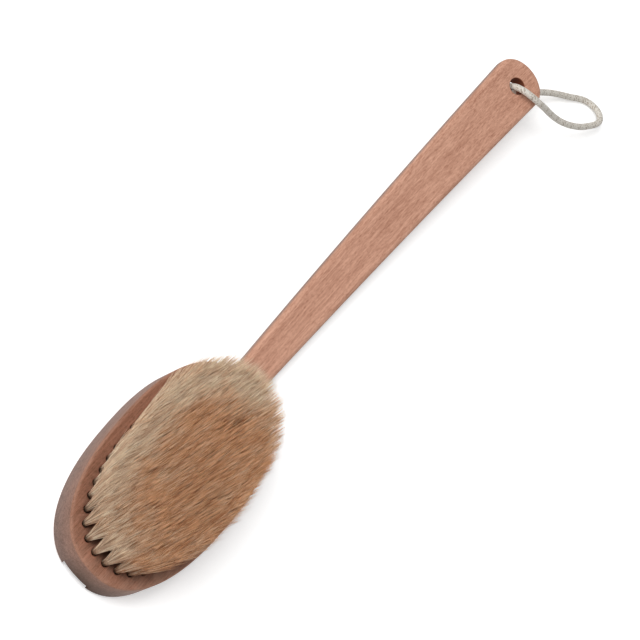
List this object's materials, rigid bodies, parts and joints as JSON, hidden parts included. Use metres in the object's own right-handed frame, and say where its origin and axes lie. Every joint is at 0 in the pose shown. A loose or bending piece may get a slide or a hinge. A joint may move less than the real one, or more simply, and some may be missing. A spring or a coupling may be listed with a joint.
{
  "type": "long-handled body brush",
  "caption": "Long-handled wooden body brush: an oval head tufted with natural bristle, a bowed handle whose dovetail tongue slides out of the head, and a braided hanging loop.",
  "frame": {"origin": "below the middle of the brush's length, hanging loop left out, on the plane of the head's back", "axes": "+X from the head's tip towards the handle's end, +Z from the head's back towards the bristles, Y across the brush"},
  "size_m": [0.4588, 0.0947, 0.0412],
  "materials": {
    "head_wood": "sanded, unvarnished beech",
    "handle_wood": "sanded, unvarnished beech",
    "bristle": "natural pale bristle",
    "anchor_wire": "flat galvanised wire",
    "cotton_cord": "braided undyed cotton"
  },
  "bodies": {
    "head": {"head_block": "head_wood", "tufts_ring_1": "bristle", "tufts_ring_2": "bristle", "tufts_ring_3": "bristle", "tufts_row_right": "bristle", "tufts_row_middle": "bristle", "tufts_row_left": "bristle", "anchors_ring_1": "anchor_wire", "anchors_ring_2": "anchor_wire", "anchors_ring_3": "anchor_wire", "anchors_row_right": "anchor_wire", "anchors_row_middle": "anchor_wire", "anchors_row_left": "anchor_wire"},
    "handle": {"handle": "handle_wood", "hanging_cord": "cotton_cord", "cord_knot": "cotton_cord"}
  },
  "joints": [
    {"name": "handle_slide", "type": "slide", "parent": "head", "child": "handle", "axis": [1, 0, 0], "range_m": [0, 0.14]}
  ]
}
